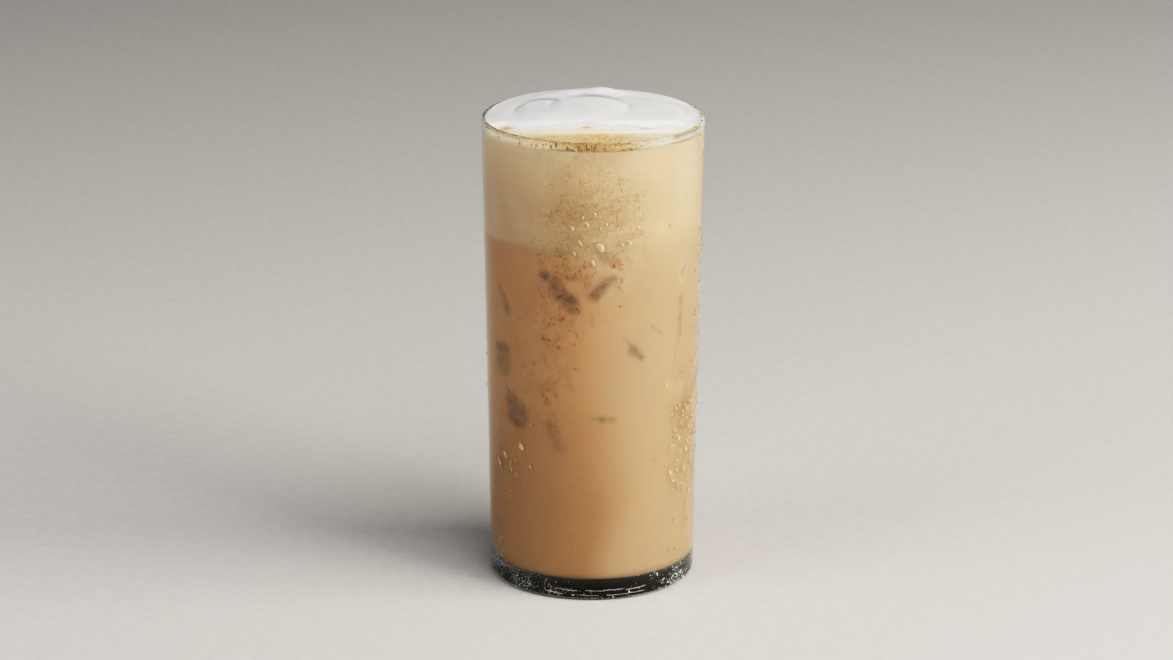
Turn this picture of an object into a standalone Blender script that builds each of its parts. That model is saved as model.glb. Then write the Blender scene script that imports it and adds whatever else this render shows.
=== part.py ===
"""Iced cappuccino in a straight-sided cooler glass.

Four solids: the heavy-based glass, the iced milk coffee that fills most of it, the paler coffee froth
above that, and the cap of white milk foam, spooned on in soft folds, which leaves a crescent of froth
bare at the front. Metres, +Z up, origin at the middle of the foot. The front is -Y.
"""

import math

import bmesh
import bpy

MM = 0.001

# Glass: driving dimensions
GLASS_HEIGHT = 156 * MM
FOOT_RADIUS = 33.9 * MM
WALL_TOP_RADIUS = 36.3 * MM
WALL_AT_FOOT = 2.1 * MM
WALL_AT_TOP = 1.3 * MM
FLOOR_THICKNESS = 7.0 * MM
FOOT_ROUND = 2.0 * MM
FLOOR_ROUND = 3.2 * MM
FOOT_RING_INNER_RADIUS = 26.0 * MM
PUNT_DEPTH = 1.6 * MM
BEAD_HALF_WIDTH = 0.76 * MM
BEAD_HALF_HEIGHT = 1.5 * MM

# Coffee and froth: driving dimensions
GAP = 0.3 * MM
COFFEE_LEVEL = 119.2 * MM
FROTH_LEVEL_AT_WALL = 152.8 * MM
FROTH_CROWN = 1.5 * MM

# Foam: driving dimensions
FOAM_FRONT_THICKNESS = 2.0 * MM
FOAM_BACK_THICKNESS = 3.7 * MM
FOAM_WALL_SHARE = 0.9
FOAM_LIP = 0.3 * MM
FOAM_LIP_SLOPE = 8.0 * MM
FOAM_HELD_WIDTH = 2.5 * MM
FOAM_CENTRE_Y = 8.0 * MM
FOAM_HALF_WIDTH = 46.6 * MM
FOAM_HALF_DEPTH = 23.0 * MM

# The foam's folds, each over those before it: place, half width, reach to the back and the front, height.
# Each drops most sharply in the direction that leans from the back to the right by so many degrees, into
# a shallow groove, and runs out softly on the far side.
FOLDS = (
    {"x": 8.0, "y": 2.0, "half_x": 21.5, "back": 17.0, "front": 15.0, "height": 0.3, "lean": 62},
    {"x": 2.0, "y": 19.0, "half_x": 7.0, "back": 4.4, "front": 4.0, "height": 0.15, "lean": 0},
    {"x": -15.8, "y": 5.0, "half_x": 8.4, "back": 9.6, "front": 12.0, "height": 0.75, "lean": -4},
    {"x": -1.3, "y": 7.0, "half_x": 10.7, "back": 10.0, "front": 13.0, "height": 1.0, "lean": 6},
)
FOLD_EDGE_SHARE = 0.3
FOLD_STEEP_SPREAD = 0.55
FOLD_GROOVE_SHARE = 0.4
FOLD_GROOVE_CENTRE = 0.2
FOLD_GROOVE_WIDTH = 0.13

# The foam's soft rises over the back rim: place, half width and half depth, height
RISES = (
    {"x": 3.3, "y": 26.0, "half_x": 5.2, "half_y": 3.4, "height": 1.0},
    {"x": -3.0, "y": 26.0, "half_x": 13.0, "half_y": 5.0, "height": 1.1},
)

# How finely round shapes are cut
SEGMENTS = 72
ARC_STEPS = 5
PUNT_STEPS = 4
BEAD_STEPS = 10
FOAM_RINGS = 24
FOAM_UNDERSIDE_RINGS = 3
FROTH_RINGS = 6
UNIT_DISC_MIDDLE = 0.5
MERGE_DISTANCE = 1e-5
SHARP_EDGE_ANGLE = 35

# Keeps a division by a length from failing at the length 0
TINY = 1e-6


def clear_scene():
    """Removes every object that the scene opened with."""
    for item in list(bpy.data.objects):
        bpy.data.objects.remove(item)


def material(name, colour, roughness, transmission=0.0, ior=1.5):
    """A Principled BSDF material without metal."""
    made = bpy.data.materials.new(name)
    made.use_nodes = True
    shader = made.node_tree.nodes["Principled BSDF"]
    shader.inputs["Base Color"].default_value = (*colour, 1.0)
    shader.inputs["Roughness"].default_value = roughness
    shader.inputs["Metallic"].default_value = 0.0
    shader.inputs["Transmission Weight"].default_value = transmission
    shader.inputs["IOR"].default_value = ior
    return made


def smooth_step(share):
    """0 below 0, 1 above 1 and an even S between."""
    share = min(max(share, 0.0), 1.0)
    return share * share * (3 - 2 * share)


def outer_radius(z):
    """The outside of the glass's wall at a height, without its rim bead."""
    return FOOT_RADIUS + (WALL_TOP_RADIUS - FOOT_RADIUS) * z / GLASS_HEIGHT


def inner_radius(z):
    """The inside of the glass's wall at a height, without its rim bead."""
    wall = WALL_AT_FOOT + (WALL_AT_TOP - WALL_AT_FOOT) * z / GLASS_HEIGHT
    return outer_radius(z) - wall


def arc(centre, half_width, half_height, start, end, steps):
    """Points (radius, height) on an elliptical arc between two angles in degrees."""
    angles = (math.radians(start + (end - start) * i / steps) for i in range(steps + 1))
    return [(centre[0] + half_width * math.cos(a), centre[1] + half_height * math.sin(a)) for a in angles]


def punt_profile():
    """The shallow hollow under the foot, from the axis out to the ring that the glass stands on."""
    shares = (i / PUNT_STEPS for i in range(PUNT_STEPS + 1))
    return [(FOOT_RING_INNER_RADIUS * share, PUNT_DEPTH * (1 - share**3)) for share in shares]


def bead_profile():
    """The fire-polished rim, a little thicker than the wall, from outside over the top to inside."""
    centre_z = GLASS_HEIGHT - BEAD_HALF_HEIGHT
    middle = (outer_radius(centre_z) + inner_radius(centre_z)) / 2
    half_wall = (outer_radius(centre_z) - inner_radius(centre_z)) / 2
    start = -math.degrees(math.acos(half_wall / BEAD_HALF_WIDTH))
    return arc((middle, centre_z), BEAD_HALF_WIDTH, BEAD_HALF_HEIGHT, start, 180 - start, BEAD_STEPS)


def floor_profile(radius_at, floor, round_radius):
    """The rounded corner between a wall and a flat floor, from the wall in to the axis."""
    centre_z = floor + round_radius
    centre = (radius_at(centre_z) - round_radius, centre_z)
    return arc(centre, round_radius, round_radius, 0, -90, ARC_STEPS) + [(0.0, floor)]


def glass_profile():
    """The whole section of the glass, from the axis under the foot to the axis on the inner floor."""
    foot_centre = (outer_radius(FOOT_ROUND) - FOOT_ROUND, FOOT_ROUND)
    foot = arc(foot_centre, FOOT_ROUND, FOOT_ROUND, -90, 0, ARC_STEPS)
    return punt_profile() + foot + bead_profile() + floor_profile(inner_radius, FLOOR_THICKNESS, FLOOR_ROUND)


def turned(name, profile, finish):
    """A solid of revolution about +Z. The profile (radius, height) starts and ends on the axis."""
    shape = bmesh.new()
    points = [shape.verts.new((radius, 0.0, z)) for radius, z in profile]
    edges = [shape.edges.new(pair) for pair in zip(points, points[1:])]
    bmesh.ops.spin(
        shape,
        geom=points + edges,
        cent=(0, 0, 0),
        axis=(0, 0, 1),
        angle=math.tau,
        steps=SEGMENTS,
    )
    bmesh.ops.remove_doubles(shape, verts=shape.verts, dist=MERGE_DISTANCE)
    bmesh.ops.recalc_face_normals(shape, faces=shape.faces)
    mesh = bpy.data.meshes.new(name)
    shape.to_mesh(mesh)
    shape.free()
    mesh.materials.append(finish)
    solid = bpy.data.objects.new(name, mesh)
    bpy.context.scene.collection.objects.link(solid)
    return solid


def shade_round(solid):
    """Smooth shading that keeps the true edges sharp."""
    solid.data.shade_smooth()
    solid.data.set_sharp_from_angle(angle=math.radians(SHARP_EDGE_ANGLE))


def split_into_triangles(solid):
    """Cuts the faces into triangles, because a wavy surface's quads aren't flat."""
    shape = bmesh.new()
    shape.from_mesh(solid.data)
    bmesh.ops.triangulate(shape, faces=shape.faces)
    bmesh.ops.recalc_face_normals(shape, faces=shape.faces)
    shape.to_mesh(solid.data)
    shape.free()


def froth_surface(x, y):
    """Height of the froth's domed top."""
    reach = (x * x + y * y) / inner_radius(FROTH_LEVEL_AT_WALL) ** 2
    return FROTH_LEVEL_AT_WALL + FROTH_CROWN * (1 - reach)


def foam_wall():
    """Distance from the axis to the foam's edge where it meets the glass."""
    bead_inside = BEAD_HALF_WIDTH - WALL_AT_TOP / 2
    return inner_radius(GLASS_HEIGHT) - bead_inside - GAP


def foam_edge(direction):
    """Distance from the axis to the foam's edge: at the glass's wall, or at the front its free lip."""
    if math.sin(direction) >= 0:
        return foam_wall()
    across = math.cos(direction) / FOAM_HALF_WIDTH
    deep = math.sin(direction) / FOAM_HALF_DEPTH
    centre = FOAM_CENTRE_Y / FOAM_HALF_DEPTH
    square = across**2 + deep**2
    lip = (deep * centre + math.sqrt((deep * centre) ** 2 - square * (centre**2 - 1))) / square
    return min(foam_wall(), lip)


def fold_shape(x, y, fold):
    """A fold's mound and the groove beyond its steep edge, as shares of its height."""
    across = (x - fold["x"] * MM) / (fold["half_x"] * MM)
    behind = y - fold["y"] * MM
    deep = behind / ((fold["back"] if behind > 0 else fold["front"]) * MM)
    reach = max(math.hypot(across, deep), TINY)
    turned = math.atan2(across, deep) - math.radians(fold["lean"])
    steepness = smooth_step(0.5 + FOLD_STEEP_SPREAD * math.cos(turned))
    width = 1 + (FOLD_EDGE_SHARE - 1) * steepness
    mound = 1 - smooth_step((reach - 1) / width + 0.5)
    from_groove = (reach - 1 - FOLD_GROOVE_CENTRE) / FOLD_GROOVE_WIDTH
    return mound, FOLD_GROOVE_SHARE * steepness * math.exp(-(from_groove**2))


def folds_height(x, y):
    """The relief of the folds, laid over one another."""
    height = groove = 0.0
    for fold in FOLDS:
        mound, own_groove = fold_shape(x, y, fold)
        height = height * (1 - mound) + fold["height"] * MM * mound
        groove = max(groove * (1 - mound), fold["height"] * MM * own_groove)
    return height - groove


def rise_height(x, y, rise):
    """A soft round rise."""
    across = (x - rise["x"] * MM) / (rise["half_x"] * MM)
    deep = (y - rise["y"] * MM) / (rise["half_y"] * MM)
    return rise["height"] * MM * math.exp(-(across**2) - deep**2)


def foam_surface(x, y):
    """Height of the foam's top: thicker to the back, with its lip, folds and soft rises."""
    edge = foam_edge(math.atan2(y, x))
    front = FOAM_CENTRE_Y - FOAM_HALF_DEPTH
    backness = smooth_step((y - front) / (foam_wall() - front))
    body = FOAM_FRONT_THICKNESS + (FOAM_BACK_THICKNESS - FOAM_FRONT_THICKNESS) * backness
    held = smooth_step(1 - (foam_wall() - edge) / FOAM_HELD_WIDTH)
    at_edge = FOAM_LIP + (body * FOAM_WALL_SHARE - FOAM_LIP) * held
    inside = smooth_step((edge - math.hypot(x, y)) / FOAM_LIP_SLOPE)
    relief = folds_height(x, y) + sum(rise_height(x, y, rise) for rise in RISES)
    return froth_surface(x, y) + GAP + at_edge + (body - at_edge + relief) * inside


def make_glass():
    """The clear tumbler: straight sides that open a little towards the rim, and a heavy foot."""
    finish = material("clear_soda_lime_glass", (0.93, 0.96, 0.95), 0.02, transmission=1.0, ior=1.52)
    shade_round(turned("glass", glass_profile(), finish))


def make_coffee():
    """Iced milk coffee, from the glass's floor up to the froth."""
    finish = material("iced_milk_coffee", (0.53, 0.33, 0.15), 0.3)
    inside = floor_profile(lambda z: inner_radius(z) - GAP, FLOOR_THICKNESS + GAP, FLOOR_ROUND)
    level = [(0.0, COFFEE_LEVEL), (inner_radius(COFFEE_LEVEL) - GAP, COFFEE_LEVEL)]
    shade_round(turned("iced_coffee", level + inside, finish))


def make_froth():
    """Paler frothed coffee, with a domed top."""
    finish = material("frothed_coffee", (0.62, 0.46, 0.27), 0.5)
    underside_z = COFFEE_LEVEL + GAP
    underside = [(0.0, underside_z), (inner_radius(underside_z) - GAP, underside_z)]
    top_radius = inner_radius(FROTH_LEVEL_AT_WALL) - GAP
    radii = [top_radius * ring / FROTH_RINGS for ring in range(FROTH_RINGS, -1, -1)]
    shade_round(turned("coffee_froth", underside + [(r, froth_surface(r, 0.0)) for r in radii], finish))


def make_foam():
    """White milk foam: a disc of unit radius, stretched to the foam's outline and lifted to its heights."""
    finish = material("steamed_milk_foam", (0.83, 0.82, 0.79), 0.6)
    top = [(ring / FOAM_RINGS, 1.0) for ring in range(FOAM_RINGS + 1)]
    underside = [(ring / FOAM_UNDERSIDE_RINGS, 0.0) for ring in range(FOAM_UNDERSIDE_RINGS, -1, -1)]
    foam = turned("milk_foam", top + underside, finish)
    for corner in foam.data.vertices:
        direction = math.atan2(corner.co.y, corner.co.x)
        reach = math.hypot(corner.co.x, corner.co.y) * foam_edge(direction)
        x, y = reach * math.cos(direction), reach * math.sin(direction)
        on_top = corner.co.z > UNIT_DISC_MIDDLE
        z = foam_surface(x, y) if on_top else froth_surface(x, y) + GAP
        corner.co = (x, y, z)
    split_into_triangles(foam)
    shade_round(foam)


def main():
    """Builds the four solids."""
    clear_scene()
    make_glass()
    make_coffee()
    make_froth()
    make_foam()


main()
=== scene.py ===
"""Looks of an iced cappuccino in a cooler glass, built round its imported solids.

Everything is in metres in the solids' own frame: +Z up, the origin at the middle of the foot, and the
front at -Y. An azimuth is in degrees round the glass, 0 at the front and growing to the right.
"""
import logging
import math
from contextlib import contextmanager
from dataclasses import dataclass
from enum import Enum
from typing import Callable, Iterator, Sequence

import bpy
import numpy as np
from mathutils import Euler, Matrix, Vector, noise


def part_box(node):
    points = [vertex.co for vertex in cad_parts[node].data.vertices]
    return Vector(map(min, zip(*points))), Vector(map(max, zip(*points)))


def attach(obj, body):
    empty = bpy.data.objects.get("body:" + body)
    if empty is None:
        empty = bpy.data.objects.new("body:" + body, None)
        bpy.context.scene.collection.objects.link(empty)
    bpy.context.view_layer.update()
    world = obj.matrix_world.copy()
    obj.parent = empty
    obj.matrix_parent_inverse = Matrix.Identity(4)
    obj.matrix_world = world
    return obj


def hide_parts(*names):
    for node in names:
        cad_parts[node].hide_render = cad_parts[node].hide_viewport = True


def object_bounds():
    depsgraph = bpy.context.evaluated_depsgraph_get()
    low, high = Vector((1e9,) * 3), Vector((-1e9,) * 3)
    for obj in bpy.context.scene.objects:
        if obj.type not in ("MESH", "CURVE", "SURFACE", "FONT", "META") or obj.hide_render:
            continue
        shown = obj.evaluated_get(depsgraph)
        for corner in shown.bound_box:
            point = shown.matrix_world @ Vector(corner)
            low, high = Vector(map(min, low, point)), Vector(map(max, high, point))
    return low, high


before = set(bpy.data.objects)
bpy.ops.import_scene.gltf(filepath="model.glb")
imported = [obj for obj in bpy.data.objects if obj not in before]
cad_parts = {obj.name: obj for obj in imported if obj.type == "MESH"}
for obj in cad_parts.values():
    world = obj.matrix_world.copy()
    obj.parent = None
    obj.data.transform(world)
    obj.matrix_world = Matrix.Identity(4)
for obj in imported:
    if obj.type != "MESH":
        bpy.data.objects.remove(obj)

MM = 0.001
ROOT = "root"
CAD_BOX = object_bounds()
SEED = 20

Point = tuple[float, float]
Array = np.ndarray
Mesh = bpy.types.Object
Tree = bpy.types.NodeTree
Socket = bpy.types.NodeSocket
log = logging.getLogger("iced_cappuccino")


# General modelling helpers


@contextmanager
def editing(piece: Mesh) -> Iterator[None]:
    """Opens a piece in edit mode with nothing else selected, and closes it again.

    Args:
        piece: the mesh object to edit.
    """
    bpy.ops.object.select_all(action="DESELECT")
    piece.select_set(True)
    bpy.context.view_layer.objects.active = piece
    bpy.ops.object.mode_set(mode="EDIT")
    yield
    bpy.ops.object.mode_set(mode="OBJECT")


def turn(name: str, profile: Sequence[Point], segments: int) -> Mesh:
    """Draws a ring out along a profile into a closed solid of revolution about +Z.

    Args:
        name: the new piece's name.
        profile: points (radius, height) from near the axis, round the section, to near the axis.
        segments: how many sides the solid has.

    Returns:
        The piece, smooth, with its origin at the frame's origin.
    """
    bpy.ops.object.select_all(action="DESELECT")
    first_radius, first_z = profile[0]
    bpy.ops.mesh.primitive_circle_add(
        vertices=segments, radius=first_radius, fill_type="TRIFAN", location=(0, 0, first_z)
    )
    piece = bpy.context.object
    piece.name = piece.data.name = name
    with editing(piece):
        bpy.ops.mesh.select_all(action="SELECT")
        bpy.ops.mesh.region_to_loop()
        for (radius, z), (next_radius, next_z) in zip(profile, profile[1:]):
            ratio = next_radius / radius
            bpy.ops.mesh.extrude_edges_move(TRANSFORM_OT_translate={"value": (0, 0, next_z - z)})
            bpy.ops.transform.resize(value=(ratio, ratio, 1), center_override=(0, 0, next_z))
        bpy.ops.mesh.edge_face_add()
        bpy.ops.mesh.poke()
        bpy.ops.mesh.select_all(action="SELECT")
        bpy.ops.mesh.normals_make_consistent(inside=False)
    bpy.ops.object.transform_apply(location=True, rotation=False, scale=False)
    shade(piece)
    return piece


def shade(piece: Mesh, sharp_angle: float = 40.0) -> None:
    """Shades a piece smooth but for its true edges.

    Args:
        piece: the mesh object.
        sharp_angle: edges that turn by more than this many degrees stay sharp.
    """
    piece.data.shade_smooth()
    piece.data.set_sharp_from_angle(angle=math.radians(sharp_angle))


def arc(centre: Point, half_width: float, half_height: float, start: float, end: float, steps: int) -> list[Point]:
    """Points on an elliptical arc in the (radius, height) plane.

    Args:
        centre: the arc's centre.
        half_width: its radius across.
        half_height: its radius up.
        start: the first angle in degrees.
        end: the last angle in degrees.
        steps: how many stretches the arc has.

    Returns:
        The points, both ends included.
    """
    angles = np.radians(np.linspace(start, end, steps + 1))
    return [(centre[0] + half_width * math.cos(a), centre[1] + half_height * math.sin(a)) for a in angles]


def smooth_step(share: Array) -> Array:
    """0 below 0, 1 above 1 and an even S between."""
    share = np.clip(share, 0.0, 1.0)
    return share * share * (3 - 2 * share)


def turned(azimuth: Array, start: float) -> Array:
    """How far angles in degrees lie round from another one, from -180 to 180."""
    return (azimuth - start + 180) % 360 - 180


def corners(piece: Mesh) -> Array:
    """A mesh's corners as rows of x, y and z."""
    flat = np.empty(len(piece.data.vertices) * 3, dtype=np.float32)
    piece.data.vertices.foreach_get("co", flat)
    return flat.reshape(-1, 3).astype(float)


def move_corners(piece: Mesh, places: Array) -> None:
    """Writes a mesh's corners back from rows of x, y and z."""
    piece.data.vertices.foreach_set("co", places.astype(np.float32).ravel())
    piece.data.update()


def write_mask(piece: Mesh, name: str, values: Array) -> None:
    """Stores one number for each corner, which a finish reads by its name."""
    mask = piece.data.attributes.new(name, "FLOAT", "POINT")
    mask.data.foreach_set("value", np.clip(values, 0.0, 1.0).astype(np.float32))


def ripple(places: Array, size: float, offset: float = 0.0) -> Array:
    """Soft noise from -1 to 1.

    Args:
        places: rows of x, y and z.
        size: the width of one blotch in metres.
        offset: tells one field of noise from another.

    Returns:
        One value for each row.
    """
    shift = Vector((offset, 2.3 * offset, 5.1 * offset))
    return np.array([noise.noise(Vector(place) / size + shift) for place in places])


# Finishes: each is named for the real material and says what that gives the eye


def linear(code: str) -> tuple[float, float, float, float]:
    """Turns an sRGB hex colour into linear light.

    Args:
        code: six hex digits.

    Returns:
        Red, green, blue and an alpha of 1.
    """
    parts = (int(code[i : i + 2], 16) / 255 for i in (0, 2, 4))
    red, green, blue = (p / 12.92 if p <= 0.04045 else ((p + 0.055) / 1.055) ** 2.4 for p in parts)
    return red, green, blue, 1.0


def feed(tree: Tree, node: bpy.types.Node, inputs: dict) -> None:
    """Feeds a node's inputs.

    Args:
        tree: the material's nodes.
        node: the node to feed.
        inputs: for each input, by name or number, a socket to link, a hex colour or a plain value.
    """
    for name, value in inputs.items():
        if isinstance(value, Socket):
            tree.links.new(value, node.inputs[name])
        else:
            node.inputs[name].default_value = linear(value) if isinstance(value, str) else value


def add_node(tree: Tree, kind: str, output: str | int, inputs: dict, **settings: object) -> Socket:
    """Adds a node with its settings and links.

    Args:
        tree: the material's nodes.
        kind: the node's Blender type, without the ShaderNode in front.
        output: the output that is wanted, by name or number.
        inputs: what its inputs get, as feed takes it.
        settings: the node's own properties.

    Returns:
        The wanted output.
    """
    made = tree.nodes.new("ShaderNode" + kind)
    for name, value in settings.items():
        setattr(made, name, value)
    feed(tree, made, inputs)
    return made.outputs[output]


def lay(tree: Tree, below: Socket | str, above: Socket | str, share: Socket | str) -> Socket:
    """Lays one colour over another.

    Args:
        tree: the material's nodes.
        below: the colour underneath, a socket or hex.
        above: the colour on top, alike.
        share: how much of the upper one shows, a socket or the name of a mask on the piece.

    Returns:
        The colour that results.
    """
    if isinstance(share, str):
        share = add_node(tree, "Attribute", "Fac", {}, attribute_name=share)
    return add_node(tree, "Mix", 2, {0: share, 6: below, 7: above}, data_type="RGBA")


def mottle(
    tree: Tree,
    size: float,
    between: Point = (0.0, 1.0),
    least: float = 0.0,
    most: float = 1.0,
    detail: float = 2.0,
) -> Socket:
    """Draws soft blotches in the piece's own frame.

    Args:
        tree: the material's nodes.
        size: the blotches' width in metres.
        between: the noise levels that give the least and the most.
        least: the lowest value.
        most: the highest value.
        detail: how much finer noise is added.

    Returns:
        The value at each place on the surface.
    """
    places = add_node(tree, "TexCoord", "Object", {})
    grain = add_node(tree, "TexNoise", "Fac", {"Vector": places, "Scale": 1 / size, "Detail": detail})
    ends = {"From Min": between[0], "From Max": between[1], "To Min": least, "To Max": most}
    return add_node(tree, "MapRange", "Result", {"Value": grain, **ends})


def stain(tree: Tree, clean: Socket, cell: float) -> tuple[Socket, Socket]:
    """Stains froth with crema where its mask has it: in the seams between bubbles and in small blots.

    Args:
        tree: the material's nodes.
        clean: the froth's colour without crema.
        cell: the bubbles' width in metres.

    Returns:
        The stained colour, and the distance to the bubbles' seams.
    """
    places = add_node(tree, "TexCoord", "Object", {})
    bubbles = {"Vector": places, "Scale": 1 / cell, "Randomness": 1.0}
    cells = add_node(tree, "TexVoronoi", "Distance", bubbles, feature="DISTANCE_TO_EDGE")
    crema = add_node(tree, "Attribute", "Fac", {}, attribute_name="crema")
    near_seams = {"Value": cells, "From Min": 0.02, "From Max": 0.2, "To Min": 0.75, "To Max": 0.0}
    tint = {"Value": crema, "From Min": 0.15, "To Max": 0.9}
    share = add_node(tree, "MapRange", "Result", near_seams)
    for other, operation in (
        (mottle(tree, 1.1 * MM, (0.5, 0.62), 0.0, 0.9), "MAXIMUM"),
        (mottle(tree, 4.5 * MM, (0.35, 0.65), 0.35), "MULTIPLY"),
        (crema, "MULTIPLY"),
    ):
        share = add_node(tree, "Math", 0, {0: share, 1: other}, operation=operation)
    tinted = lay(tree, clean, "E8B266", add_node(tree, "MapRange", "Result", tint))
    return lay(tree, tinted, "BC7430", share), cells


def scattering(weight: float, reach: tuple[float, float, float], scale: float) -> dict:
    """The shader's inputs for light that scatters under the surface, farthest in red."""
    return {"Subsurface Weight": weight, "Subsurface Radius": reach, "Subsurface Scale": scale}


@dataclass(frozen=True)
class Finish:
    """A material of one name, whose surface a subclass describes."""

    name: str = "finish"

    def surface(self, tree: Tree) -> dict:
        """What the shader's inputs get, as feed takes it."""
        return {}

    def build(self) -> bpy.types.Material:
        """The material, with its shader fed."""
        made = bpy.data.materials.new(self.name)
        made.use_nodes = True
        feed(made.node_tree, made.node_tree.nodes["Principled BSDF"], self.surface(made.node_tree))
        return made


@dataclass(frozen=True)
class ClearGlass(Finish):
    """Fire-polished soda-lime glass, pressed in a mould: clear, faintly green, its walls a little wavy."""

    name: str = "clear_soda_lime_glass"
    colour: str = "F6FAF8"
    wave: float = 9 * MM
    haze: float = 3 * MM
    film: float = 0.14

    def surface(self, tree: Tree) -> dict:
        """The soft waves of pressed glass, a thin breath of moisture and the rim's cloudy film."""
        film = add_node(tree, "Attribute", "Fac", {}, attribute_name="film")
        breath = mottle(tree, self.haze, (0.35, 0.75), 0.0, 0.05, 3.0)
        waves = {"Strength": 0.05, "Distance": 0.2 * MM, "Height": mottle(tree, self.wave, detail=0.0)}
        return {
            "Base Color": self.colour,
            "Transmission Weight": 1.0,
            "IOR": 1.52,
            "Roughness": add_node(tree, "Math", 0, {0: film, 1: self.film, 2: breath}, operation="MULTIPLY_ADD"),
            "Normal": add_node(tree, "Bump", "Normal", waves),
        }


@dataclass(frozen=True)
class Mist(Finish):
    """Dew that the cold glass draws from the air: clear, with a whitish bloom where its drops are fine."""

    name: str = "fine_dew_mist"
    least_clear: float = 0.9
    most_clear: float = 0.97
    light: str = "EDDFC6"
    dim: str = "DFCBA8"
    low: str = "CFAF84"
    rough: float = 0.3

    def surface(self, tree: Tree) -> dict:
        """Water that is cloudier here and there."""
        bloom = lay(tree, self.light, self.dim, mottle(tree, 2 * MM, (0.3, 0.7)))
        return {
            "Base Color": lay(tree, bloom, self.low, "low"),
            "Transmission Weight": mottle(tree, 0.9 * MM, (0.38, 0.62), self.least_clear, self.most_clear, 1.0),
            "Roughness": self.rough,
            "IOR": 1.333,
        }


@dataclass(frozen=True)
class MilkCoffee(Finish):
    """Coffee with milk: an opaque soft brown that lets light in a millimetre or two before it scatters.

    Each colour after the swirl's is laid on by the mask of the same name.
    """

    name: str = "milk_coffee"
    coffee: str = "E1B994"
    swirl: str = "D9AB81"
    deep: str = "CAA47E"
    # Paler, greyer coffee for the right-front of the wall
    paler_right: str = "D9BE9F"
    froth: str = "EACDAB"
    crown: str = "FEE5C5"
    pale: str = "F0DEC4"
    rust: str = "A8662F"
    olive: str = "7D7558"
    violet: str = "7C6762"
    # Painted shade for the drink's bottom edge
    under: str = "5A5048"
    swirl_size: float = 28 * MM

    def wall_colour(self, tree: Tree) -> Socket:
        """The colour at the glass's wall: the two layers, soft swirls, what shows of the ice, and painted shade at the
        bottom edge.
        """
        colour = lay(tree, self.coffee, self.swirl, mottle(tree, self.swirl_size, (0.45, 0.75), 0.0, 0.55, 1.0))
        for mask in ("deep", "paler_right", "froth", "crown", "pale", "rust", "olive", "violet", "under"):
            colour = lay(tree, colour, getattr(self, mask), mask)
        return colour

    def surface(self, tree: Tree) -> dict:
        """The wall's colour, with fine bubbles that show as a faint grain."""
        bubbles = mottle(tree, 0.9 * MM, (0.3, 0.7), 0.0, 0.12, 1.0)
        colour = lay(tree, self.wall_colour(tree), self.froth, bubbles)
        soft = scattering(0.5, (1.0, 0.55, 0.3), 3.0 * MM)
        return {"Base Color": colour, "Roughness": 0.35, "Specular IOR Level": 0.1, **soft}


@dataclass(frozen=True)
class CoffeeFroth(MilkCoffee):
    """Frothed milk coffee: paler than the coffee, fine-celled, with brown crema between larger bubbles."""

    name: str = "coffee_froth"
    cream: str = "E4C99C"
    milk: str = "F1E8D6"
    cell: float = 0.7 * MM

    def surface(self, tree: Tree) -> dict:
        """The wall's colour at the side and, on top, cream broken up by crema between cells."""
        top, cells = stain(tree, lay(tree, self.cream, self.milk, "milk"), self.cell)
        bumps = {"Strength": 0.35, "Distance": 0.25 * MM, "Height": cells}
        return {
            "Base Color": lay(tree, self.wall_colour(tree), top, "top"),
            "Normal": add_node(tree, "Bump", "Normal", bumps),
            "Roughness": 0.42,
            "IOR": 1.35,
            **scattering(0.5, (1.0, 0.6, 0.35), 2.5 * MM),
        }


@dataclass(frozen=True)
class MilkFoam(Finish):
    """Steamed milk foam: matt, white and so finely celled that it looks smooth, cream at its thin edge."""

    name: str = "steamed_milk_foam"
    white: str = "EFEFEE"
    shadow: str = "E6E6E5"
    # Painted shade: the grey that the foam's grooves, greyer patches and terrace line are laid towards
    painted_shade: str = "A0A1A6"
    cream: str = "EDE4CE"
    cell: float = 0.7 * MM

    def surface(self, tree: Tree) -> dict:
        """Fine cells as a shallow bump, painted shade in the grooves, patches and terrace line, and coffee showing
        through the free lip.
        """
        colour = lay(tree, self.white, self.shadow, mottle(tree, 7 * MM, (0.4, 0.7), detail=1.0))
        colour = lay(tree, lay(tree, colour, self.painted_shade, "painted_foam_shade"), self.cream, "lip")
        fine = {"Strength": 0.2, "Distance": 0.08 * MM, "Height": mottle(tree, 0.4 * MM)}
        return {
            "Base Color": stain(tree, colour, self.cell)[0],
            "Normal": add_node(tree, "Bump", "Normal", fine),
            "Roughness": 0.55,
            "IOR": 1.35,
            **scattering(0.3, (1.0, 0.95, 0.85), 0.8 * MM),
        }


@dataclass(frozen=True)
class BubbleSkin(Finish):
    """The thin moist skin of a crema bubble: glossy, from cream to orange-brown as its liquid thins."""

    name: str = "crema_bubble_skin"
    light: str = "EEDDBC"
    dark: str = "9C5E2B"

    def surface(self, tree: Tree) -> dict:
        """The tone that each bubble carries, a little mottled."""
        uneven = mottle(tree, 0.5 * MM, (0.3, 0.7), -0.15, 0.15)
        tone = add_node(tree, "Attribute", "Fac", {}, attribute_name="tone")
        tone = add_node(tree, "Math", 0, {0: uneven, 1: tone}, operation="ADD", use_clamp=True)
        soft = scattering(0.3, (1.0, 0.6, 0.3), 0.8 * MM)
        return {"Base Color": lay(tree, self.light, self.dark, tone), "Roughness": 0.15, "IOR": 1.34, **soft}


@dataclass(frozen=True)
class StudioFloor(Finish):
    """A pale sheet of matt laminate under the glass, with a barely visible grain."""

    name: str = "pale_matt_laminate"
    colour: str = "DCDAD6"
    darker: str = "D8D6D2"

    def surface(self, tree: Tree) -> dict:
        """The laminate's colour, flecked."""
        flecks = mottle(tree, 4 * MM, (0.4, 0.6), detail=3.0)
        return {"Base Color": lay(tree, self.colour, self.darker, flecks), "Roughness": 0.6}


# The glass


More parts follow.
